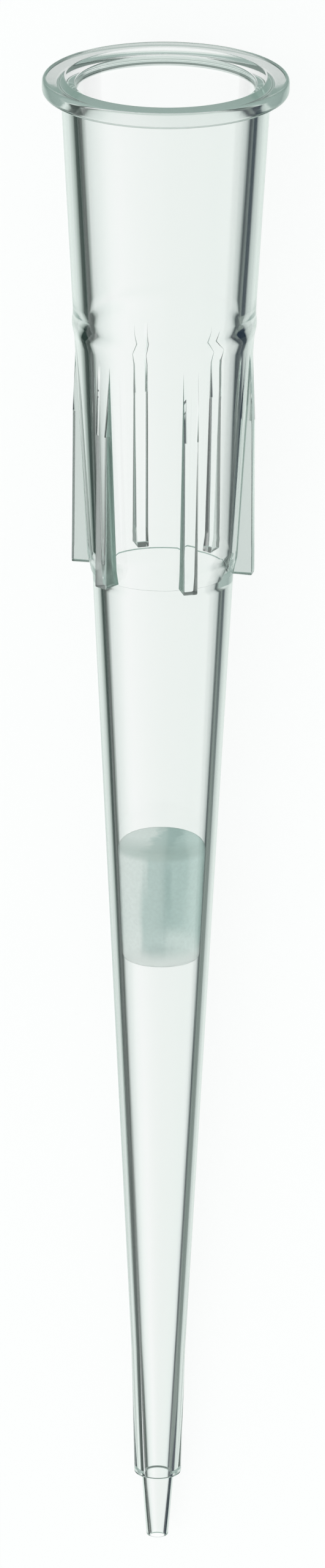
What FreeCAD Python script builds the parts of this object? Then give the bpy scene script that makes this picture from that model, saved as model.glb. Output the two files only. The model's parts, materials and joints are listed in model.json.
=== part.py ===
"""Filter pipette tip: a one-piece moulded tip body, and the porous filter plug pressed into its bore.

Sizes are in millimetres. The tip is drawn upright on its own axis, with depths measured down from the
mouth. It is then laid on its side as it comes to rest, with its mouth towards -Y: on the edge of its
flange and on the corner above its point, with two of its ribs straddling the surface between them.
"""
import FreeCAD, Part

import math
import os

# Overall length, from the mouth to the orifice
TIP_LENGTH = 51.0

# Flange round the mouth
FLANGE_RADIUS = 4.0
FLANGE_THICKNESS = 0.5
FLANGE_EDGE_ROUNDING = 0.07
FLANGE_FILLET = 0.08

# Shoulder between the barrel and the cone
SHOULDER_DEPTH = 16.2
SHOULDER_HEIGHT = 0.8
SHOULDER_ROUNDING = 0.15

# Bore: a tapered seat for the pipette's nozzle, a barrel, a long cone and the orifice.
# The bore narrows behind the shoulder, from above its top to below its foot.
MOUTH_RADIUS = 2.95
MOUTH_LEAD_IN_WIDTH = 0.3
MOUTH_LEAD_IN_DEPTH = 0.2
SEAT_DEPTH = 7.95
SEAT_END_RADIUS = 2.5
BORE_NARROWING_LEAD = 0.2
BORE_NARROWING_HEIGHT = 1.1
BARREL_BORE_END_RADIUS = 2.2
CONE_BORE_RADIUS = 1.97
CONE_BORE_END_RADIUS = 0.42
ORIFICE_RADIUS = 0.23
ORIFICE_BORE_HEIGHT = 2.1

# Walls, measured outwards from the bore
SEAT_WALL = 0.47
BARREL_TOP_WALL = 0.465
BARREL_FOOT_WALL = 0.28
CONE_WALL = 0.32
CONE_LOWER_WALL = 0.25

# Collar where the thicker seat wall ends, just past the end of the seat
COLLAR_OVERHANG = 0.4
COLLAR_HEIGHT = 0.35
COLLAR_RADIUS = 3.02
COLLAR_CHAMFER = 0.04

# Ribs down the barrel, from the collar to a little past the top of the shoulder: three plates through the
# axis make six ribs
RIB_PLATES = 3
RIB_THICKNESS = 0.48
RIB_TOP_RADIUS = 3.0
RIB_FOOT_RADIUS = 3.02
RIB_FOOT_OVERHANG = 0.6

# Foot of the cone, and the fine point that stands on it
POINT_HEIGHT = 2.3
LOWER_WALL_HEIGHT = 4.5
CONE_FOOT_RADIUS = 0.78
POINT_TOP_RADIUS = 0.54
POINT_END_RADIUS = 0.36

# Filter plug
FILTER_DEPTH = 26.2
FILTER_LENGTH = 4.05

# How far a cutting solid runs past the face that it cuts
OVERRUN = 1.0

AXIS = FreeCAD.Vector(0, 0, 1)
ORIGIN = FreeCAD.Vector(0, 0, 0)

COLLAR_DEPTH = SEAT_DEPTH + COLLAR_OVERHANG
BARREL_BORE_DEPTH = SHOULDER_DEPTH - BORE_NARROWING_LEAD
CONE_BORE_DEPTH = BARREL_BORE_DEPTH + BORE_NARROWING_HEIGHT
RIB_FOOT_DEPTH = SHOULDER_DEPTH + RIB_FOOT_OVERHANG
STEP_DEPTH = TIP_LENGTH - POINT_HEIGHT
CONE_BORE_END_DEPTH = TIP_LENGTH - ORIFICE_BORE_HEIGHT


def between(start, end, depth):
    """Radius at a depth on the straight line between two (radius, depth) corners."""
    share = (depth - start[1]) / (end[1] - start[1])
    return start[0] + share * (end[0] - start[0])


def cone_bore_radius(depth):
    """Radius of the long cone of the bore, where the filter sits and the sample is held."""
    start = (CONE_BORE_RADIUS, CONE_BORE_DEPTH)
    end = (CONE_BORE_END_RADIUS, CONE_BORE_END_DEPTH)
    return between(start, end, depth)


def seat_radius(depth):
    """Radius of the tapered seat that grips the nozzle."""
    return between((MOUTH_RADIUS, 0), (SEAT_END_RADIUS, SEAT_DEPTH), depth)


def barrel_bore_radius(depth):
    """Radius of the barrel of the bore, behind the ribs."""
    start = (SEAT_END_RADIUS, SEAT_DEPTH)
    end = (BARREL_BORE_END_RADIUS, BARREL_BORE_DEPTH)
    return between(start, end, depth)


def turned_solid(corners):
    """Solid of revolution about the axis from (radius, depth, rounding) corners, in order round its section."""
    points = [FreeCAD.Vector(radius, 0, -depth) for radius, depth, _ in corners]
    entries = []
    exits = []
    arcs = []
    for index, corner in enumerate(points):
        rounding = corners[index][2]
        if rounding == 0:
            entries.append(corner)
            exits.append(corner)
            arcs.append(None)
            continue
        back = (points[index - 1] - corner).normalize()
        ahead = (points[(index + 1) % len(points)] - corner).normalize()
        half_angle = back.getAngle(ahead) / 2
        bisector = (back + ahead).normalize()
        reach = rounding / math.tan(half_angle)
        middle = corner + bisector * (rounding / math.sin(half_angle) - rounding)
        entries.append(corner + back * reach)
        exits.append(corner + ahead * reach)
        arcs.append(Part.Arc(entries[-1], middle, exits[-1]).toShape())
    edges = []
    for index, arc in enumerate(arcs):
        if arc:
            edges.append(arc)
        following = entries[(index + 1) % len(entries)]
        edges.append(Part.LineSegment(exits[index], following).toShape())
    return Part.Face(Part.Wire(edges)).revolve(ORIGIN, AXIS, 360)


def outer_form():
    """The outside of the tip as a turned solid, without its ribs and bore."""
    collar_top = COLLAR_DEPTH - COLLAR_HEIGHT
    cone_depth = SHOULDER_DEPTH + SHOULDER_HEIGHT
    lower_depth = STEP_DEPTH - LOWER_WALL_HEIGHT
    return turned_solid([
        (0, 0, 0),
        (FLANGE_RADIUS, 0, FLANGE_EDGE_ROUNDING),
        (FLANGE_RADIUS, FLANGE_THICKNESS, FLANGE_EDGE_ROUNDING),
        (seat_radius(FLANGE_THICKNESS) + SEAT_WALL, FLANGE_THICKNESS, FLANGE_FILLET),
        (seat_radius(collar_top) + SEAT_WALL, collar_top, 0),
        (COLLAR_RADIUS, collar_top + COLLAR_CHAMFER, 0),
        (COLLAR_RADIUS, COLLAR_DEPTH - COLLAR_CHAMFER, 0),
        (COLLAR_RADIUS - COLLAR_CHAMFER, COLLAR_DEPTH, 0),
        (barrel_bore_radius(COLLAR_DEPTH) + BARREL_TOP_WALL, COLLAR_DEPTH, 0),
        (BARREL_BORE_END_RADIUS + BARREL_FOOT_WALL, SHOULDER_DEPTH, SHOULDER_ROUNDING),
        (cone_bore_radius(cone_depth) + CONE_WALL, cone_depth, SHOULDER_ROUNDING),
        (cone_bore_radius(lower_depth) + CONE_LOWER_WALL, lower_depth, 0),
        (CONE_FOOT_RADIUS, STEP_DEPTH, 0),
        (POINT_TOP_RADIUS, STEP_DEPTH, 0),
        (POINT_END_RADIUS, TIP_LENGTH, 0),
        (0, TIP_LENGTH, 0),
    ])


def bore_form():
    """The space inside the tip, from past its mouth to past its orifice."""
    lead_in_radius = MOUTH_RADIUS + MOUTH_LEAD_IN_WIDTH
    return turned_solid([
        (0, -OVERRUN, 0),
        (lead_in_radius, -OVERRUN, 0),
        (lead_in_radius, 0, 0),
        (seat_radius(MOUTH_LEAD_IN_DEPTH), MOUTH_LEAD_IN_DEPTH, 0),
        (SEAT_END_RADIUS, SEAT_DEPTH, 0),
        (BARREL_BORE_END_RADIUS, BARREL_BORE_DEPTH, 0),
        (CONE_BORE_RADIUS, CONE_BORE_DEPTH, 0),
        (CONE_BORE_END_RADIUS, CONE_BORE_END_DEPTH, 0),
        (ORIFICE_RADIUS, TIP_LENGTH, 0),
        (ORIFICE_RADIUS, TIP_LENGTH + OVERRUN, 0),
        (0, TIP_LENGTH + OVERRUN, 0),
    ])


def rib_plate(number):
    """One plate through the axis. Its two edges are two opposite ribs, and two ribs straddle -Y."""
    width = 2 * (RIB_TOP_RADIUS + OVERRUN)
    plate = Part.makeBox(width, RIB_THICKNESS, TIP_LENGTH)
    plate.translate(FreeCAD.Vector(-width / 2, -RIB_THICKNESS / 2, -TIP_LENGTH))
    plate.rotate(ORIGIN, AXIS, number * 180 / RIB_PLATES)
    return plate


def ribs():
    """The crossed plates, trimmed to the slight draft of the ribs' outer edges."""
    top_depth = COLLAR_DEPTH - COLLAR_HEIGHT / 2
    envelope = turned_solid([
        (0, top_depth, 0),
        (RIB_TOP_RADIUS, top_depth, 0),
        (RIB_FOOT_RADIUS, RIB_FOOT_DEPTH, 0),
        (0, RIB_FOOT_DEPTH, 0),
    ])
    plates = rib_plate(0)
    for number in range(1, RIB_PLATES):
        plates = plates.fuse(rib_plate(number))
    return envelope.common(plates)


def tip_body():
    """The moulded body: flange, seat, collar, ribbed barrel, shoulder, cone and point, bored right through."""
    return outer_form().fuse(ribs()).cut(bore_form()).removeSplitter()


def filter_plug():
    """The porous plug, which takes the taper of the bore that it is pressed into."""
    end_depth = FILTER_DEPTH + FILTER_LENGTH
    return turned_solid([
        (0, FILTER_DEPTH, 0),
        (cone_bore_radius(FILTER_DEPTH), FILTER_DEPTH, 0),
        (cone_bore_radius(end_depth), end_depth, 0),
        (0, end_depth, 0),
    ])


def resting_tilt():
    """How far the axis drops towards the point, in radians, once the tip lies on its flange and one more corner.

    The flange's edge is round. As the narrow end comes down, the corner that is reached first holds it.
    """
    edge_radius = FLANGE_RADIUS - FLANGE_EDGE_ROUNDING
    edge_depth = FLANGE_THICKNESS - FLANGE_EDGE_ROUNDING
    straddle = math.radians(90 / RIB_PLATES)
    half_rib = RIB_THICKNESS / 2
    rib_corner = math.sqrt(RIB_FOOT_RADIUS ** 2 - half_rib ** 2) * math.cos(straddle) + half_rib * math.sin(straddle)
    corners = [
        (rib_corner, RIB_FOOT_DEPTH),
        (CONE_FOOT_RADIUS, STEP_DEPTH),
        (POINT_END_RADIUS, TIP_LENGTH),
    ]
    tilts = []
    for radius, depth in corners:
        run = depth - edge_depth
        drop = edge_radius - radius
        tilts.append(math.atan2(drop, run) + math.asin(FLANGE_EDGE_ROUNDING / math.hypot(run, drop)))
    return min(tilts)


def lay_down(pieces):
    """Turns the upright pieces onto their side and stands the middle of their base on the origin."""
    for shape in pieces.values():
        shape.rotate(ORIGIN, FreeCAD.Vector(1, 0, 0), 90 - math.degrees(resting_tilt()))
    box = Part.makeCompound(list(pieces.values())).optimalBoundingBox(False, False)
    shift = FreeCAD.Vector(-box.Center.x, -box.Center.y, -box.ZMin)
    for shape in pieces.values():
        shape.translate(shift)


def main():
    pieces = {
        "tip_body": tip_body(),
        "filter_plug": filter_plug(),
    }
    lay_down(pieces)
    os.makedirs("parts", exist_ok=True)
    for name, shape in pieces.items():
        shape.exportStep(f"parts/{name}.step")


if __name__ == "__main__":
    main()
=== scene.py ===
"""Filter pipette tip: a clear ribbed tip with a flanged mouth, and the porous filter plug in its bore.

Each piece is made upright round the tip's own axis, with depths measured from the mouth, and is then laid
where the frame has the tip: on its side, with its mouth towards -Y.
"""

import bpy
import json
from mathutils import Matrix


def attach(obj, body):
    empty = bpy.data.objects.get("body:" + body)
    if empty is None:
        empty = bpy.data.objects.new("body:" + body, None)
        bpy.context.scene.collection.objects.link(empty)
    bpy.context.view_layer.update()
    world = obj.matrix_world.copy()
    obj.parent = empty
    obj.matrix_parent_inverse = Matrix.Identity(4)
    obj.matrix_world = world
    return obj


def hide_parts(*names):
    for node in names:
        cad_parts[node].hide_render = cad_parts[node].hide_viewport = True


bl_info = {
    "name": "Filter pipette tip",
    "version": (1, 0, 0),
    "blender": (4, 5, 0),
    "location": "3D View > Sidebar > Pipette tip",
    "description": "Makes a clear filter pipette tip, its porous plug, and the plain stage that it lies on",
    "category": "Object",
}

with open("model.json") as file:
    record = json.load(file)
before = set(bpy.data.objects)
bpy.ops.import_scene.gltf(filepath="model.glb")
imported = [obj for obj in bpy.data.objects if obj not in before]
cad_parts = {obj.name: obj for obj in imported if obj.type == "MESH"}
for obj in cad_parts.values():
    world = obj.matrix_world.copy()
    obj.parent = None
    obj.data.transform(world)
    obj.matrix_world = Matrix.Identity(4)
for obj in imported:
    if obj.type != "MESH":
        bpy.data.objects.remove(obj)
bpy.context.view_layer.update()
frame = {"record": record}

import json
import math

import bmesh
import bpy
from mathutils import Matrix, Vector

MM = 0.001

# Where the frame has the tip: the middle of its mouth, and the way straight out of it
SEAT = next(mount for mount in frame["record"]["mounts"] if mount["name"] == "nozzle_seat")
MOUTH = Vector(SEAT["pos_m"])
OUT = Vector(SEAT["axis"]).normalized()

# How finely the pieces are turned, and how sharp an edge is that stays sharp or is rounded
TURN_STEPS = 144
ROUNDING_STEPS = 4
SHARP_ANGLE = math.radians(35)
RIB_EDGE_ANGLE = math.radians(50)
RIM_ANGLE = math.radians(60)

# Distances in metres that don't count: between two depths or radii, and between points that are merged
TINY = 1e-6
SAME_PLACE = 1e-7

# Ribs: their spacing round the barrel, and how many steps of the turning each one takes up
RIB_SPACING = math.radians(60)
RIB_SECTOR_STEPS = 4

# A rib's sides face less than the first outward and along the tip. Its foot's normal is below the second.
SIDE_FACING = 0.5
FOOT_FACING = -0.8

# How dull the moulded faces are, from 0 to 1, which also greys them with painted shade: the flange, a rib's
# sides, the painted shade added where they face along X, and the share that is left on the tip's underside,
# where less shade is painted. Full dullness adds the last to the roughness.
FLANGE_DULL_AND_SHADED = 0.25
SIDE_DULL_AND_SHADED = 0.55
SHADED_MORE_ALONG_X = 0.45
UNDERSIDE_SHADE_SHARE = 0.4
DULL_ROUGHNESS = 0.22

# The width that the plug's painted shading is spread over, and how far its streaks make its edges wander
PLUG_SPAN = 3.0 * MM
STREAK_WANDER = 0.22

# Refraction of the clear plastic and of the porous plug, which is mostly air
CLEAR_IOR = 1.49
POROUS_IOR = 1.04

# Counts of a ray's turns, half a step low: mirrored once, through both walls, guided along a wall, past which
# the clear plastic shows a painted glow
MIRRORED_ONCE = 0.5
THROUGH_BOTH_WALLS = 2.5
GUIDED = 3.5

# Colours of the cards, dark on the -X side and on the +X side, and of the same cards seen mirrored. Then the
# tray's two colours, the paler end of the card on the -X side, and white.
COOL_CARD = (0.014, 0.024, 0.038)
WARM_CARD = (0.018, 0.034, 0.028)
COOL_MIRRORED = (0.020, 0.033, 0.050)
WARM_MIRRORED = (0.022, 0.040, 0.034)
DARK_TRAY = (0.025, 0.045, 0.040)
PALE_TRAY = (0.24, 0.29, 0.27)
PALE_CARD = (0.20, 0.245, 0.225)
WHITE = (1.0, 1.0, 1.0)

# What the clear plastic picks up, as rows of (place, colour). Places run from the -X side to the +X side:
# through both walls, through one wall, mirrored in a wall, and on the tray
CLEARED_SHADES = [
    (0.00, COOL_CARD),
    (0.315, COOL_CARD),
    (0.332, (0.36, 0.41, 0.40)),
    (0.355, (0.72, 0.77, 0.76)),
    (0.39, (0.87, 0.92, 0.90)),
    (0.43, (0.90, 0.94, 0.92)),
    (0.50, (0.92, 0.945, 0.93)),
    (0.54, WHITE),
    (0.57, (0.95, 0.98, 0.965)),
    (0.60, (0.86, 0.91, 0.89)),
    (0.63, (0.72, 0.77, 0.75)),
    (0.653, (0.36, 0.42, 0.39)),
    (0.67, WARM_CARD),
    (1.00, WARM_CARD),
]
OPEN_SHADES = [
    (0.00, COOL_CARD),
    (0.315, COOL_CARD),
    (0.335, (0.50, 0.56, 0.54)),
    (0.37, WHITE),
    (0.62, WHITE),
    (0.65, (0.50, 0.56, 0.54)),
    (0.67, WARM_CARD),
    (1.00, WARM_CARD),
]
MIRRORED_SHADES = [
    (0.00, COOL_MIRRORED),
    (0.165, COOL_MIRRORED),
    (0.20, (0.48, 0.54, 0.52)),
    (0.26, (0.68, 0.76, 0.72)),
    (0.40, (0.84, 0.90, 0.87)),
    (0.49, (0.70, 0.78, 0.74)),
    (0.60, (0.86, 0.92, 0.89)),
    (0.69, (0.84, 0.91, 0.88)),
    (0.73, (0.60, 0.68, 0.64)),
    (0.765, (0.30, 0.36, 0.33)),
    (0.785, WARM_MIRRORED),
    (1.00, WARM_MIRRORED),
]
TRAY_SHADES = [
    (0.00, DARK_TRAY),
    (0.28, DARK_TRAY),
    (0.40, PALE_TRAY),
    (0.60, PALE_TRAY),
    (0.72, DARK_TRAY),
    (1.00, DARK_TRAY),
]

# The same past the cards' ends and above them. Places run from straight down to straight up.
LEVEL_SHADES = [
    (0.00, (0.62, 0.69, 0.66)),
    (0.15, (0.62, 0.69, 0.66)),
    (0.30, WHITE),
    (0.50, (0.95, 0.98, 0.97)),
    (0.60, (0.80, 0.86, 0.83)),
    (1.00, (0.84, 0.90, 0.87)),
]

# Where the cards stand in the world, as shares of a direction, and where each fades out
SIDE_SHIFT = 0.2
CARD_MIDDLE = 0.245
CARD_ENDS = (0.25, 0.40)
CARD_TOPS = (0.32, 0.36)
RAISED_SIDE = (0.79, 0.84)
RAISED_BY = 0.06
PALE_ALONG = (0.250, 0.275)
PALE_SIDE = (0.30, 0.25)
MIRRORED_SHIFT = -0.055

# Shares of light lost: by an echo of the cards in the bore's far side, and by the world for diffuse rays
ECHO_LOSS = 0.6
DIFFUSE_LOSS = 0.2

# The stage: half the floor's width, how the lamp is turned, and the nearest and farthest the camera sees
FLOOR_REACH = 6.0
LAMP_TURN = (math.radians(-20), math.radians(25), 0)
CAMERA_NEAR = 0.01
CAMERA_FAR = 20


def laid_down():
    """The tip's upright frame, with its mouth at the origin and +Z out of it, in the frame's place."""
    side = Vector((1, 0, 0))
    up = OUT.cross(side)
    turn = Matrix((side, up, OUT)).transposed().to_4x4()
    return Matrix.Translation(MOUTH) @ turn


def length(name, description, default, high=0.1):
    """A size in metres, given in millimetres."""
    return bpy.props.FloatProperty(
        name=name, description=description, default=default * MM, min=0.0, max=high,
        unit="LENGTH", subtype="DISTANCE", precision=5)


def colour(name, description, default):
    """A colour as linear red, green and blue."""
    return bpy.props.FloatVectorProperty(
        name=name, description=description, default=default, min=0.0, max=1.0, size=3, subtype="COLOR")


def angle(name, description, default):
    """An angle in radians, given in degrees."""
    return bpy.props.FloatProperty(
        name=name, description=description, default=math.radians(default), min=-math.pi, max=math.pi,
        unit="ROTATION", subtype="ANGLE")


class TipSizes(bpy.types.PropertyGroup):
    """Sizes of the moulded tip. Depths are measured from the mouth."""
    tip_length: length("Length", "Overall length, from the mouth to the orifice", 51.0)
    flange_radius: length("Flange radius", "Outer radius of the flange round the mouth", 4.0)
    flange_thickness: length("Flange thickness", "Thickness of the flange", 0.55)
    flange_rounding: length("Flange rounding", "Rounding of the flange's outer edge", 0.13)
    flange_fillet: length("Flange fillet", "Fillet under the flange", 0.15)
    mouth_radius: length("Mouth radius", "Radius of the nozzle's seat at the mouth", 2.95)
    lead_in_width: length("Lead-in width", "How far the mouth's lead-in widens the seat", 0.33)
    lead_in_depth: length("Lead-in depth", "Depth of the mouth's lead-in", 0.2)
    seat_depth: length("Seat depth", "Where the seat ends", 7.95)
    seat_end_radius: length("Seat end radius", "Radius of the seat where it ends", 2.5)
    seat_wall: length("Seat wall", "Wall round the seat", 0.47)
    collar_depth: length("Collar depth", "Where the collar ends", 8.35)
    collar_height: length("Collar height", "Height of the collar", 0.35)
    collar_radius: length("Collar radius", "Outer radius of the collar", 3.02)
    barrel_top_wall: length("Barrel top wall", "Wall of the barrel below the collar", 0.465)
    barrel_foot_wall: length("Barrel foot wall", "Wall of the barrel at the shoulder", 0.28)
    barrel_bore_depth: length("Barrel bore depth", "Where the barrel's bore ends", 16.0)
    barrel_bore_radius: length("Barrel bore radius", "Radius of the bore where the barrel ends", 2.2)
    shoulder_depth: length("Shoulder depth", "Where the shoulder starts", 16.2)
    shoulder_height: length("Shoulder height", "Height of the shoulder", 0.8)
    shoulder_rounding: length("Shoulder rounding", "Rounding of the shoulder's corners", 0.06)
    rib_width: length("Rib width", "Width of each rib", 0.48)
    rib_start_depth: length("Rib start depth", "Where the ribs leave the barrel", 9.1)
    rib_full_depth: length("Rib full depth", "Where the ribs reach their full radius", 11.5)
    rib_full_radius: length("Rib full radius", "Outer radius of the ribs there", 3.0)
    rib_foot_radius: length("Rib foot radius", "Outer radius of the ribs at their feet", 3.02)
    rib_foot_depth: length("Rib foot depth", "Where the ribs end", 16.7)
    ledge_width: length("Ledge width", "Width of the fine ledge round the shoulder at the ribs' feet", 0.055)
    edge_rounding: length("Edge rounding", "Rounding of the ribs' edges", 0.04)
    cone_bore_depth: length("Cone bore depth", "Where the long cone of the bore starts", 17.1)
    cone_bore_radius: length("Cone bore radius", "Radius of the bore where its cone starts", 1.97)
    cone_bore_end_radius: length("Cone bore end radius", "Radius of the bore where its cone ends", 0.42)
    cone_wall: length("Cone wall", "Wall at the top of the cone", 0.32)
    cone_lower_wall: length("Cone lower wall", "Wall near the foot of the cone", 0.25)
    lower_wall_height: length("Lower wall height", "Height of the lower wall above the cone's foot", 4.5)
    cone_foot_radius: length("Cone foot radius", "Outer radius at the cone's foot", 0.78)
    point_height: length("Point height", "Height of the fine point", 2.3)
    point_top_radius: length("Point top radius", "Radius of the point where it leaves the cone", 0.54)
    point_end_radius: length("Point end radius", "Outer radius of the point's end", 0.36)
    orifice_radius: length("Orifice radius", "Radius of the orifice", 0.23)
    orifice_bore_height: length("Orifice bore height", "Height of the point's own bore", 2.1)
    filter_depth: length("Filter depth", "Where the plug starts", 26.2)
    filter_length: length("Filter length", "Length of the plug", 4.05)
    filter_slack: length("Filter slack", "How much narrower the plug is than the bore, on its radius", 0.07)
    filter_rounding: length("Filter rounding", "Rounding of the plug's rims", 0.20)


class TipFinish(bpy.types.PropertyGroup):
    """Colours of the two plastics, with the painted shade and painted glow of the clear one, and the painted
    light and shade of the plug.
    """
    clear: colour("Clear plastic", "Colour of the clear plastic", (0.992, 1.0, 0.996))
    # painted shade: the grey-green that the dull faces are greyed towards
    dull_and_painted_shade: colour("Dull plastic", "Colour of the duller faces, such as the ribs' sides", (0.33, 0.44, 0.395))
    depth: colour("Depth", "Colour that the clear plastic takes on with depth", (0.84, 0.905, 0.88))
    # painted glow: the even green-grey that the clear plastic glows with after a ray is guided along the wall
    painted_guided_glow: colour(
        "Guided light", "Light that comes out of the wall after it was guided along", (0.205, 0.25, 0.235))
    # painted light and shade across the plug: a half shade on its -X side, the darkest shade in its middle, and
    # the palest light on its +X side
    plug_painted_half_shade: colour("Plug side", "Colour of the plug's half-pressed side", (0.72, 0.87, 0.84))
    plug_painted_shade: colour("Plug pressed", "Colour of the plug where it is pressed most", (0.46, 0.615, 0.59))
    plug_painted_light: colour("Plug loose", "Colour of the plug where it is loose", (0.94, 1.0, 0.98))
    # painted shade on the plug's top, and painted light on its foot
    plug_top_painted_shade: colour("Plug top", "Colour of the plug's dense top", (0.36, 0.47, 0.43))
    plug_foot_painted_light: colour("Plug foot", "Colour of the plug's loose foot", (0.95, 0.985, 0.97))


class StageSettings(bpy.types.PropertyGroup):
    """The floor, the light and the camera."""
    floor_colour: colour("Floor", "Colour of the plain floor", (0.985, 1.0, 0.994))
    shadow_share: bpy.props.FloatProperty(
        name="Backdrop light",
        description="How much of the floor is seen by its own light, which softens its shadow",
        default=0.92, min=0.0, max=1.0, subtype="FACTOR")
    lamp_strength: bpy.props.FloatProperty(
        name="Lamp strength", description="Strength of the soft overhead lamp",
        default=0.2 * math.pi, min=0.0)
    lamp_spread: angle("Lamp spread", "How wide the overhead lamp is", 60)
    camera_reach: length("Camera reach", "Distance from the camera to the mouth", 450, high=2.0)
    camera_rise: angle("Camera rise", "How far the camera is raised towards the mouth", 17.2)
    camera_turn: angle("Camera turn", "How far the camera is turned round the tip", 12.5)
    camera_lean: angle("Camera lean", "How far the picture leans", 0.34)
    camera_aim: length("Camera aim", "Depth below the mouth that the camera looks at", 24.27)
    camera_nudge: length("Camera nudge", "How far the camera stands to its right", 0.026)
    view_height: length("View height", "Height of the view at the tip", 51.49, high=1.0)


def put(tree, socket, term):
    """Gives a socket a value, or links it to another node's output."""
    if isinstance(term, bpy.types.NodeSocket):
        tree.links.new(term, socket)
    else:
        socket.default_value = term


def node(tree, kind, **values):
    """A node with its settings, and its sockets' values or links under their own names."""
    made = tree.nodes.new(kind)
    for name, value in values.items():
        if hasattr(made, name):
            setattr(made, name, value)
        else:
            put(tree, made.inputs[name.replace("_", " ")], value)
    return made


def maths(tree, operation, *terms):
    """One step of arithmetic on up to three values or outputs."""
    made = node(tree, "ShaderNodeMath", operation=operation)
    for socket, term in zip(made.inputs, terms):
        put(tree, socket, term)
    return made.outputs[0]


def spread(tree, value, start, end, low=0.0, high=1.0, kind="LINEAR"):
    """A value that goes from low to high as another goes from start to end."""
    made = node(
        tree, "ShaderNodeMapRange", interpolation_type=kind, Value=value,
        From_Min=start, From_Max=end, To_Min=low, To_Max=high)
    return made.outputs[0]


def blended(tree, share, first, second, kind="MIX"):
    """Two colours mixed by a share."""
    made = node(tree, "ShaderNodeMix", data_type="RGBA", blend_type=kind)
    put(tree, made.inputs[0], share)
    for socket, value in (("A", first), ("B", second)):
        put(tree, made.inputs[socket], value)
    return made.outputs["Result"]


def shades(tree, place, stops):
    """The colour at a place from 0 to 1 along a row of (place, colour) stops."""
    made = node(tree, "ShaderNodeValToRGB")
    elements = made.color_ramp.elements
    for element, (at, value) in zip((elements[0], elements[1]), (stops[0], stops[-1])):
        element.position = at
        element.color = (*value, 1.0)
    for at, value in stops[1:-1]:
        elements.new(at).color = (*value, 1.0)
    put(tree, made.inputs[0], place)
    return made.outputs["Color"]


def part_way(first, second, share):
    """The colour part of the way from one to another."""
    return tuple(a + share * (b - a) for a, b in zip(first, second))


def opaque(value):
    """A colour with full opacity."""
    return (*value, 1.0)


def between(start, end, depth):
    """Radius at a depth on the straight line between two (radius, depth) corners."""
    share = (depth - start[1]) / (end[1] - start[1])
    return start[0] + share * (end[0] - start[0])


def cone_bore(sizes, depth):
    """Radius of the long cone of the bore at a depth."""
    start = (sizes.cone_bore_radius, sizes.cone_bore_depth)
    end = (sizes.cone_bore_end_radius, sizes.tip_length - sizes.orifice_bore_height)
    return between(start, end, depth)


def draw_outline(bm, corners):
    """A closed outline from (radius, depth, rounding) corners. Roundings are distances along the sides."""
    verts = [bm.verts.new((radius, 0, -depth)) for radius, depth, _ in corners]
    for here, following in zip(verts, verts[1:] + verts[:1]):
        bm.edges.new((here, following))
    for rounding in sorted({corner[2] for corner in corners} - {0}):
        bmesh.ops.bevel(
            bm, geom=[vert for vert, corner in zip(verts, corners) if corner[2] == rounding],
            offset=rounding, offset_type="OFFSET", affect="VERTICES", segments=ROUNDING_STEPS,
            profile=0.5, material=-1)


def turn_outline(bm):
    """Spins the outline right round the tip's axis."""
    bmesh.ops.spin(
        bm, geom=bm.verts[:] + bm.edges[:], cent=(0, 0, 0), axis=(0, 0, 1), dvec=(0, 0, 0),
        angle=math.tau, steps=TURN_STEPS, use_merge=True)
    bmesh.ops.remove_doubles(bm, verts=bm.verts[:], dist=SAME_PLACE)
    bmesh.ops.recalc_face_normals(bm, faces=bm.faces[:])


def finish_piece(context, name, bm, material, cad_node):
    """Lays the closed mesh down where the frame has it, as the piece that stands for its CAD node."""
    open_edges = sum(len(edge.link_faces) != 2 for edge in bm.edges)
    if open_edges:
        raise RuntimeError(f"{name} has {open_edges} open edges")
    bmesh.ops.transform(bm, matrix=laid_down(), verts=bm.verts[:])
    for face in bm.faces:
        face.smooth = True
    for edge in bm.edges:
        edge.smooth = edge.calc_face_angle() < SHARP_ANGLE
    mesh = bpy.data.meshes.new(name)
    bm.to_mesh(mesh)
    bm.free()
    mesh.materials.append(material)
    piece = bpy.data.objects.new(name, mesh)
    context.scene.collection.objects.link(piece)
    even = piece.modifiers.new("even normals", "WEIGHTED_NORMAL")
    even.keep_sharp = True
    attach(piece, "root")
    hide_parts(cad_node)


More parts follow.
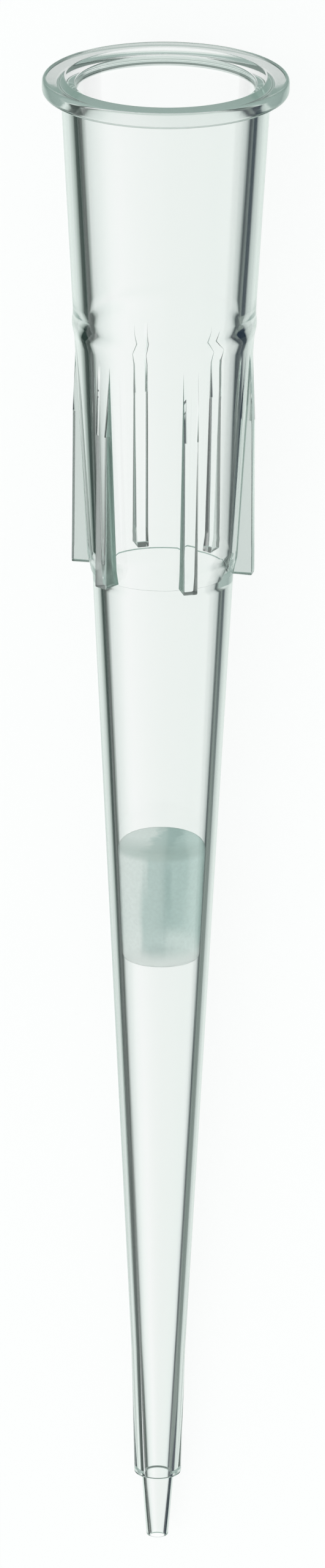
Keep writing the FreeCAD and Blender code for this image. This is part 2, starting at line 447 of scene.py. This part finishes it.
class MakeShell(bpy.types.Operator):
    """Makes the clear moulded tip"""
    bl_idname = "pipette.make_shell"
    bl_label = "Clear tip"

    def execute(self, context):
        sizes = context.scene.tip_sizes
        bm = bmesh.new()
        draw_outline(bm, self.outline(sizes))
        turn_outline(bm)
        self.raise_ribs(bm, sizes)
        self.soften_edges(bm, sizes)
        material = clear_plastic(context.scene.tip_finish)
        finish_piece(context, "clear_tip", bm, material, "tip_body")
        return {"FINISHED"}

    def outline(self, sizes):
        """The wall's section: from the mouth's lead-in over the flange, down the outside and up the bore."""
        def seat(depth):
            """Radius of the nozzle's seat."""
            return between((sizes.mouth_radius, 0), seat_end, depth)

        def barrel(depth):
            """Outer radius of the barrel."""
            return between((barrel_top, sizes.collar_depth), shoulder, depth)

        edge = sizes.edge_rounding
        fine = edge / 2
        inside = 2 * edge
        swell = 4 * edge
        funnel = 12 * edge
        under_flange = 1.4 * sizes.flange_rounding
        crest_depth = sizes.collar_depth - edge
        swell_top = crest_depth - sizes.collar_height
        swell_foot = crest_depth + sizes.collar_height
        seat_end = (sizes.seat_end_radius, sizes.seat_depth)
        barrel_end = (sizes.barrel_bore_radius, sizes.barrel_bore_depth)
        barrel_top = between(seat_end, barrel_end, sizes.collar_depth) + sizes.barrel_top_wall
        cone_depth = sizes.shoulder_depth + sizes.shoulder_height
        foot_depth = sizes.tip_length - sizes.point_height
        lower_depth = foot_depth - sizes.lower_wall_height
        shoulder = (sizes.barrel_bore_radius + sizes.barrel_foot_wall, sizes.shoulder_depth)
        cone_top = (cone_bore(sizes, cone_depth) + sizes.cone_wall, cone_depth)
        ledge_radius = between(shoulder, cone_top, sizes.rib_foot_depth)
        return [
            (sizes.mouth_radius + sizes.lead_in_width, 0, edge),
            (sizes.flange_radius, 0, sizes.flange_rounding),
            (sizes.flange_radius, sizes.flange_thickness, under_flange),
            (seat(sizes.flange_thickness) + sizes.seat_wall, sizes.flange_thickness, sizes.flange_fillet),
            (seat(swell_top) + sizes.seat_wall, swell_top, swell),
            (sizes.collar_radius, crest_depth, swell),
            (barrel(swell_foot), swell_foot, swell),
            (barrel(sizes.rib_start_depth), sizes.rib_start_depth, 0),
            (barrel(sizes.rib_full_depth), sizes.rib_full_depth, 0),
            (*shoulder, sizes.shoulder_rounding),
            (ledge_radius, sizes.rib_foot_depth, 0),
            (ledge_radius, sizes.rib_foot_depth + sizes.ledge_width / 2, 0),
            (ledge_radius - sizes.ledge_width, sizes.rib_foot_depth + sizes.ledge_width, 0),
            (*cone_top, sizes.shoulder_rounding / 2),
            (cone_bore(sizes, lower_depth) + sizes.cone_lower_wall, lower_depth, 0),
            (sizes.cone_foot_radius, foot_depth, fine),
            (sizes.point_top_radius, foot_depth, edge),
            (sizes.point_end_radius, sizes.tip_length, edge),
            (sizes.orifice_radius, sizes.tip_length, fine),
            (sizes.cone_bore_end_radius, sizes.tip_length - sizes.orifice_bore_height, funnel),
            (sizes.cone_bore_radius, sizes.cone_bore_depth, inside),
            (*barrel_end, inside),
            (*seat_end, inside),
            (seat(sizes.lead_in_depth), sizes.lead_in_depth, edge),
        ]

    def raise_ribs(self, bm, sizes):
        """Extrudes six strips of the barrel out to the ribs' radius. Their tops run into the barrel."""
        half_sector = RIB_SECTOR_STEPS * math.pi / TURN_STEPS
        start = sizes.rib_start_depth
        ring = [vert for vert in bm.verts if abs(-vert.co.z - start) < TINY]
        start_radius = max(vert.co.xy.length for vert in ring)
        crown = (sizes.rib_full_radius, sizes.rib_full_depth)

        def off_rib(co):
            """Angle from the middle of the nearest rib."""
            angle = math.atan2(co.y, co.x)
            return angle - round(angle / RIB_SPACING) * RIB_SPACING

        bm.normal_update()
        strips = []
        for face in bm.faces:
            middle = face.calc_center_median()
            on_barrel = start < -middle.z < sizes.rib_foot_depth
            if on_barrel and face.normal.xy.dot(middle.xy) > 0 and abs(off_rib(middle)) < half_sector:
                strips.append(face)
        raised = bmesh.ops.extrude_face_region(bm, geom=strips)["geom"]
        raised = [part for part in raised if isinstance(part, bmesh.types.BMVert)]
        bmesh.ops.delete(bm, geom=strips, context="FACES")
        tops = []
        for vert in raised:
            depth = -vert.co.z
            angle = off_rib(vert.co)
            if depth < sizes.rib_full_depth:
                radius = between((start_radius, start), crown, depth)
            else:
                radius = between(crown, (sizes.rib_foot_radius, sizes.rib_foot_depth), depth)
            across = sizes.rib_width / 2 * angle / half_sector
            turned = math.atan2(vert.co.y, vert.co.x) - angle + math.asin(across / radius)
            vert.co = (radius * math.cos(turned), radius * math.sin(turned), -depth)
            if depth < start + TINY:
                tops.append(vert)
        ring = [vert for vert in ring if vert.co.xy.length > start_radius - TINY]
        joins = {vert: min(ring, key=lambda corner: (corner.co - vert.co).length) for vert in tops}
        bmesh.ops.weld_verts(bm, targetmap=joins)

    def soften_edges(self, bm, sizes):
        """Rounds the ribs' outer edges, and marks the duller faces, which are also greyed with painted shade:
        the ribs' sides and feet, and the flange.
        """
        bm.normal_update()
        foot = sizes.rib_foot_depth + TINY
        edges = []
        for edge in bm.edges:
            depths = [-vert.co.z for vert in edge.verts]
            on_rib = min(depths) > sizes.rib_full_depth - TINY and max(depths) < foot
            if on_rib and len(edge.link_faces) == 2 and edge.calc_face_angle_signed() > RIB_EDGE_ANGLE:
                edges.append(edge)
        bmesh.ops.bevel(
            bm, geom=edges, offset=sizes.edge_rounding, offset_type="OFFSET", affect="EDGES",
            segments=ROUNDING_STEPS, profile=0.5, material=-1, clamp_overlap=True, loop_slide=True)
        bm.normal_update()
        dull_and_painted_shade = bm.faces.layers.float.new("dull_and_painted_shade")
        shoulder_radius = sizes.barrel_bore_radius + sizes.barrel_foot_wall
        flange_inside = sizes.mouth_radius + sizes.lead_in_width
        underside = -sizes.rib_full_radius / 2
        for face in bm.faces:
            middle = face.calc_center_median()
            outward = face.normal.dot(Vector((middle.x, middle.y, 0)).normalized())
            on_rib = sizes.rib_start_depth < -middle.z < foot
            # painted shade: faces that face along X are greyed more, and those on the tip's underside only in
            # part
            dull_and_shade_share = UNDERSIDE_SHADE_SHARE if middle.y < underside else 1.0
            if on_rib and abs(face.normal.z) < SIDE_FACING and abs(outward) < SIDE_FACING:
                face[dull_and_painted_shade] = dull_and_shade_share * (SIDE_DULL_AND_SHADED + SHADED_MORE_ALONG_X * abs(face.normal.x))
            elif on_rib and face.normal.z < FOOT_FACING and middle.xy.length > shoulder_radius:
                face[dull_and_painted_shade] = dull_and_shade_share
            elif -middle.z < sizes.flange_thickness + TINY and middle.xy.length > flange_inside:
                face[dull_and_painted_shade] = FLANGE_DULL_AND_SHADED


def tip_space(tree):
    """Object coordinates turned into the tip's upright frame, with +Z out of its mouth."""
    upright = laid_down().inverted()
    place = node(tree, "ShaderNodeTexCoord")
    turn = node(
        tree, "ShaderNodeMapping", Vector=place.outputs["Object"],
        Location=upright.to_translation(), Rotation=upright.to_euler())
    return turn.outputs["Vector"]


def grain_group():
    """Noise with a grain of a given size in metres, drawn out along the tip, for both plastics."""
    group = bpy.data.node_groups.get("drawn grain")
    if group:
        return group
    group = bpy.data.node_groups.new("drawn grain", "ShaderNodeTree")
    group.interface.new_socket("Place", in_out="INPUT", socket_type="NodeSocketVector")
    for name, default in (("Size", MM), ("Stretch", 1.0), ("Detail", 2.0)):
        socket = group.interface.new_socket(name, in_out="INPUT", socket_type="NodeSocketFloat")
        socket.default_value = default
    group.interface.new_socket("Grain", in_out="OUTPUT", socket_type="NodeSocketFloat")
    given = node(group, "NodeGroupInput").outputs
    finer = maths(group, "DIVIDE", 1.0, given["Size"])
    drawn = maths(group, "DIVIDE", finer, given["Stretch"])
    scale = node(group, "ShaderNodeCombineXYZ", X=finer, Y=finer, Z=drawn)
    place = node(group, "ShaderNodeVectorMath", operation="MULTIPLY")
    put(group, place.inputs[0], given["Place"])
    put(group, place.inputs[1], scale.outputs[0])
    noise = node(group, "ShaderNodeTexNoise", Vector=place.outputs[0], Scale=1.0, Detail=given["Detail"])
    put(group, node(group, "NodeGroupOutput").inputs["Grain"], noise.outputs["Fac"])
    return group


def grain(tree, place, size, stretch=1.0, detail=2.0):
    """The drawn grain at a place, as a value round 0.5."""
    made = tree.nodes.new("ShaderNodeGroup")
    made.node_tree = grain_group()
    for name, value in (("Place", place), ("Size", size), ("Stretch", stretch), ("Detail", detail)):
        put(tree, made.inputs[name], value)
    return made.outputs["Grain"]


def clear_plastic(finish):
    """Clear polypropylene: faint flow lines from the mould, duller faces greyed with painted shade, a faint
    green in its depth, and a painted glow after light is guided along the wall.
    """
    material = bpy.data.materials.new("clear polypropylene")
    material.use_nodes = True
    tree = material.node_tree
    plastic = tree.nodes["Principled BSDF"].inputs
    plastic["Transmission Weight"].default_value = 1.0
    plastic["IOR"].default_value = CLEAR_IOR
    depth = node(tree, "ShaderNodeVolumeAbsorption", Color=opaque(finish.depth), Density=150.0)
    put(tree, tree.nodes["Material Output"].inputs["Volume"], depth.outputs["Volume"])
    place = tip_space(tree)
    flow = grain(tree, place, 0.9 * MM, stretch=14.0)
    cloud = grain(tree, place, 2.5 * MM, stretch=3.0)
    dull_and_painted_shade = node(tree, "ShaderNodeAttribute", attribute_name="dull_and_painted_shade").outputs["Fac"]
    # colour: clear, and greyer with painted shade on the dull faces
    put(tree, plastic["Base Color"], blended(tree, dull_and_painted_shade, opaque(finish.clear), opaque(finish.dull_and_painted_shade)))
    # polish: glossy, with faint patches, and rougher on the dull faces
    polish = spread(tree, cloud, 0.4, 0.7, low=0.01, high=0.04)
    put(tree, plastic["Roughness"], maths(tree, "MULTIPLY_ADD", dull_and_painted_shade, DULL_ROUGHNESS, polish))
    bump = node(tree, "ShaderNodeBump", Strength=0.12, Distance=0.02 * MM, Height=flow)
    put(tree, plastic["Normal"], bump.outputs["Normal"])
    # painted glow: after a ray has been mirrored along inside the wall, the plastic glows an even green-grey
    mirrored = node(tree, "ShaderNodeLightPath").outputs["Glossy Depth"]
    put(tree, plastic["Emission Strength"], maths(tree, "GREATER_THAN", mirrored, GUIDED))
    plastic["Emission Color"].default_value = opaque(finish.painted_guided_glow)
    return material


class MakeFilter(bpy.types.Operator):
    """Makes the porous filter plug"""
    bl_idname = "pipette.make_filter"
    bl_label = "Filter plug"

    def execute(self, context):
        sizes = context.scene.tip_sizes
        top = sizes.filter_depth
        foot = sizes.filter_depth + sizes.filter_length
        top_radius = cone_bore(sizes, top) - sizes.filter_slack
        narrowed = (cone_bore(sizes, foot) - sizes.filter_slack) / top_radius
        bm = bmesh.new()
        bmesh.ops.create_circle(bm, cap_ends=True, segments=TURN_STEPS, radius=top_radius)
        bmesh.ops.translate(bm, vec=(0, 0, -top), verts=bm.verts[:])
        raised = bmesh.ops.extrude_face_region(bm, geom=bm.faces[:])["geom"]
        rim = [part for part in raised if isinstance(part, bmesh.types.BMVert)]
        bmesh.ops.scale(bm, vec=(narrowed, narrowed, 1), verts=rim)
        bmesh.ops.translate(bm, vec=(0, 0, top - foot), verts=rim)
        bmesh.ops.recalc_face_normals(bm, faces=bm.faces[:])
        rims = [edge for edge in bm.edges if edge.calc_face_angle() > RIM_ANGLE]
        bmesh.ops.bevel(
            bm, geom=rims, offset=sizes.filter_rounding, offset_type="OFFSET", affect="EDGES",
            segments=ROUNDING_STEPS, profile=0.5, material=-1)
        material = porous_plastic(context.scene.tip_finish, top, foot)
        finish_piece(context, "porous_filter", bm, material, "filter_plug")
        return {"FINISHED"}


def porous_plastic(finish, top, foot):
    """Sintered plastic that lets some light through: grainy and streaked, with painted light and shade across
    it, painted shade at its top and painted light at its foot.
    """
    material = bpy.data.materials.new("porous plug")
    material.use_nodes = True
    tree = material.node_tree
    plastic = tree.nodes["Principled BSDF"].inputs
    plastic["Transmission Weight"].default_value = 0.85
    plastic["IOR"].default_value = POROUS_IOR
    plastic["Specular IOR Level"].default_value = 0.2
    place = tip_space(tree)
    fine = grain(tree, place, 0.10 * MM, detail=3.0)
    streaks = grain(tree, place, 0.40 * MM, stretch=8.0)
    x, y, z = node(tree, "ShaderNodeSeparateXYZ", Vector=place).outputs
    # painted light and shade across the plug, from its -X side to its +X side, with an edge that wanders
    across = maths(tree, "MULTIPLY_ADD", x, 1 / PLUG_SPAN, 0.5)
    across = maths(tree, "MULTIPLY_ADD", streaks, STREAK_WANDER, across)
    painted_shading = shades(tree, across, [
        (0.32, finish.plug_painted_half_shade),
        (0.41, part_way(finish.plug_painted_half_shade, finish.plug_painted_shade, 0.2)),
        (0.48, finish.plug_painted_shade),
        (0.64, finish.plug_painted_shade),
        (0.74, part_way(finish.plug_painted_light, finish.plug_painted_shade, 0.12)),
        (0.92, finish.plug_painted_light),
    ])
    speckle = spread(tree, fine, 0.30, 0.70, low=0.88)
    speckled = node(tree, "ShaderNodeVectorMath", operation="SCALE", Scale=speckle)
    put(tree, speckled.inputs[0], painted_shading)
    # the two ends: painted shade at the top, more on its upper side, and painted light at the foot
    top_end = spread(tree, z, -top - 0.32 * MM, -top - 0.06 * MM, kind="SMOOTHSTEP")
    upper_side = spread(tree, y, -0.2 * MM, 1.3 * MM, low=0.1, high=0.8)
    foot_end = spread(tree, z, -foot + 0.75 * MM, -foot + 0.10 * MM, kind="SMOOTHSTEP")
    top_painted_shade = maths(tree, "MULTIPLY", top_end, upper_side)
    colour_so_far = blended(tree, top_painted_shade, speckled.outputs[0], opaque(finish.plug_top_painted_shade))
    put(tree, plastic["Base Color"], blended(tree, foot_end, colour_so_far, opaque(finish.plug_foot_painted_light)))
    put(tree, plastic["Roughness"], spread(tree, fine, 0.0, 1.0, low=0.45, high=0.75))
    bump = node(tree, "ShaderNodeBump", Strength=0.4, Distance=0.03 * MM, Height=fine)
    put(tree, plastic["Normal"], bump.outputs["Normal"])
    return material


class MakeStage(bpy.types.Operator):
    """Makes the floor, the light and the camera"""
    bl_idname = "pipette.make_stage"
    bl_label = "Stage"

    def execute(self, context):
        settings = context.scene.tip_stage
        scene = context.scene
        scene.view_settings.view_transform = "Standard"
        self.floor(scene, settings)
        self.world(scene)
        self.lamp(scene, settings)
        self.camera(scene, settings)
        return {"FINISHED"}

    def floor(self, scene, settings):
        """A plain floor that shows the tip's shadow, and that light bent by the tip passes through."""
        bm = bmesh.new()
        bmesh.ops.create_grid(bm, x_segments=1, y_segments=1, size=FLOOR_REACH)
        mesh = bpy.data.meshes.new("floor")
        bm.to_mesh(mesh)
        bm.free()
        floor = bpy.data.objects.new("floor", mesh)
        scene.collection.objects.link(floor)
        material = bpy.data.materials.new("plain floor")
        material.use_nodes = True
        tree = material.node_tree
        tree.nodes.clear()
        path = node(tree, "ShaderNodeLightPath").outputs
        paint = node(tree, "ShaderNodeBsdfDiffuse", Color=opaque(settings.floor_colour))
        glow = node(tree, "ShaderNodeEmission", Color=opaque(settings.floor_colour))
        clear = node(tree, "ShaderNodeBsdfTransparent")
        glowing = maths(tree, "MULTIPLY", path["Is Camera Ray"], settings.shadow_share)
        bent = maths(tree, "MAXIMUM", path["Is Glossy Ray"], path["Is Transmission Ray"])
        lit = self.shown(tree, glowing, paint, glow)
        out = node(tree, "ShaderNodeOutputMaterial")
        put(tree, out.inputs["Surface"], self.shown(tree, bent, lit, clear).outputs[0])
        mesh.materials.append(material)

    def shown(self, tree, share, first, second):
        """Two shaders mixed by a share."""
        made = node(tree, "ShaderNodeMixShader")
        for socket, term in zip(made.inputs, (share, first.outputs[0], second.outputs[0])):
            put(tree, socket, term)
        return made

    def world(self, scene):
        """Plain white, with two long dark cards beside the tip that only its clear plastic picks up."""
        world = bpy.data.worlds.new("studio")
        scene.world = world
        world.use_nodes = True
        tree = world.node_tree
        tree.nodes.clear()
        path = node(tree, "ShaderNodeLightPath").outputs
        direction = node(tree, "ShaderNodeTexCoord").outputs["Generated"]
        x, y, z = node(tree, "ShaderNodeSeparateXYZ", Vector=direction).outputs
        aside = maths(tree, "MULTIPLY_ADD", x, 0.5, 0.5 - 0.5 * SIDE_SHIFT)
        height = maths(tree, "MULTIPLY_ADD", z, 0.5, 0.5)
        mirrored = maths(tree, "GREATER_THAN", path["Glossy Depth"], MIRRORED_ONCE)
        through_bore = maths(tree, "GREATER_THAN", path["Transmission Depth"], THROUGH_BOTH_WALLS)
        # the cards, as they show through one wall, through both, and mirrored in a wall
        one_wall = shades(tree, aside, OPEN_SHADES)
        cards = blended(tree, through_bore, one_wall, shades(tree, aside, CLEARED_SHADES))
        cards = blended(tree, mirrored, cards, shades(tree, aside, MIRRORED_SHADES))
        # the card on the -X side is paler towards the tip's point
        along = maths(tree, "MULTIPLY_ADD", mirrored, MIRRORED_SHIFT, y)
        pale = maths(tree, "MULTIPLY", spread(tree, along, *PALE_ALONG), spread(tree, aside, *PALE_SIDE))
        cards = blended(tree, pale, cards, opaque(PALE_CARD), kind="LIGHTEN")
        # past the cards' ends, above them, and the tray below
        raised = spread(tree, aside, *RAISED_SIDE, high=RAISED_BY)
        above = spread(tree, maths(tree, "SUBTRACT", height, raised), *CARD_TOPS)
        away = maths(tree, "ABSOLUTE", maths(tree, "SUBTRACT", y, CARD_MIDDLE))
        off_cards = maths(tree, "MAXIMUM", above, spread(tree, away, *CARD_ENDS))
        on_tray = maths(tree, "MULTIPLY", maths(tree, "SUBTRACT", 1.0, above), mirrored)
        ends = blended(tree, on_tray, shades(tree, height, LEVEL_SHADES), shades(tree, aside, TRAY_SHADES))
        echo = maths(tree, "MULTIPLY", through_bore, mirrored)
        picked_up = node(
            tree, "ShaderNodeBackground", Color=blended(tree, off_cards, cards, ends),
            Strength=maths(tree, "MULTIPLY_ADD", echo, -ECHO_LOSS, 1.0))
        dimmer = maths(tree, "MULTIPLY_ADD", path["Is Diffuse Ray"], -DIFFUSE_LOSS, 1.0)
        plain = node(tree, "ShaderNodeBackground", Color=(1, 1, 1, 1), Strength=dimmer)
        bent = maths(tree, "MAXIMUM", path["Is Glossy Ray"], path["Is Transmission Ray"])
        out = node(tree, "ShaderNodeOutputWorld")
        put(tree, out.inputs["Surface"], self.shown(tree, bent, plain, picked_up).outputs[0])

    def lamp(self, scene, settings):
        """A wide soft lamp overhead, which the plastic neither mirrors nor lets through."""
        light = bpy.data.lights.new("soft overhead", "SUN")
        light.energy = settings.lamp_strength
        light.angle = settings.lamp_spread
        lamp = bpy.data.objects.new("soft overhead", light)
        lamp.rotation_euler = LAMP_TURN
        lamp.visible_glossy = False
        lamp.visible_transmission = False
        scene.collection.objects.link(lamp)

    def camera(self, scene, settings):
        """A camera above the tip, with its mouth at the top of the picture."""
        up = Vector((0, 0, 1))
        over = (up - OUT * up.dot(OUT)).normalized()
        over = over * math.cos(settings.camera_turn) - Vector((1, 0, 0)) * math.sin(settings.camera_turn)
        rise = settings.camera_rise
        place = MOUTH + settings.camera_reach * (math.sin(rise) * OUT + math.cos(rise) * over)
        aim = MOUTH - OUT * settings.camera_aim
        ahead = (aim - place).normalized()
        right = ahead.cross(OUT).normalized()
        head = right.cross(ahead)
        lean = settings.camera_lean
        right, head = (
            right * math.cos(lean) + head * math.sin(lean),
            head * math.cos(lean) - right * math.sin(lean))
        data = bpy.data.cameras.new("camera")
        data.lens = data.sensor_width * (aim - place).length / settings.view_height
        data.clip_start = CAMERA_NEAR
        data.clip_end = CAMERA_FAR
        camera = bpy.data.objects.new("camera", data)
        turn = Matrix((right, head, -ahead)).transposed().to_4x4()
        camera.matrix_world = Matrix.Translation(place + right * settings.camera_nudge) @ turn
        scene.collection.objects.link(camera)
        scene.camera = camera


class TipPanel(bpy.types.Panel):
    """Lists the pieces and the stage"""
    bl_idname = "VIEW3D_PT_pipette_tip"
    bl_label = "Pipette tip"
    bl_space_type = "VIEW_3D"
    bl_region_type = "UI"
    bl_category = "Pipette tip"

    def draw(self, context):
        for operator in (MakeShell, MakeFilter, MakeStage):
            self.layout.operator(operator.bl_idname)


CLASSES = (TipSizes, TipFinish, StageSettings, MakeShell, MakeFilter, MakeStage, TipPanel)


def register():
    """Adds the classes, and the sizes, colours and stage settings to the scene."""
    for made in CLASSES:
        bpy.utils.register_class(made)
    bpy.types.Scene.tip_sizes = bpy.props.PointerProperty(type=TipSizes)
    bpy.types.Scene.tip_finish = bpy.props.PointerProperty(type=TipFinish)
    bpy.types.Scene.tip_stage = bpy.props.PointerProperty(type=StageSettings)


def unregister():
    """Takes them away again."""
    del bpy.types.Scene.tip_sizes
    del bpy.types.Scene.tip_finish
    del bpy.types.Scene.tip_stage
    for made in reversed(CLASSES):
        bpy.utils.unregister_class(made)


def main():
    """Makes the pieces and the stage."""
    register()
    bpy.ops.pipette.make_shell()
    bpy.ops.pipette.make_filter()
    bpy.ops.pipette.make_stage()


if __name__ == "__main__":
    main()
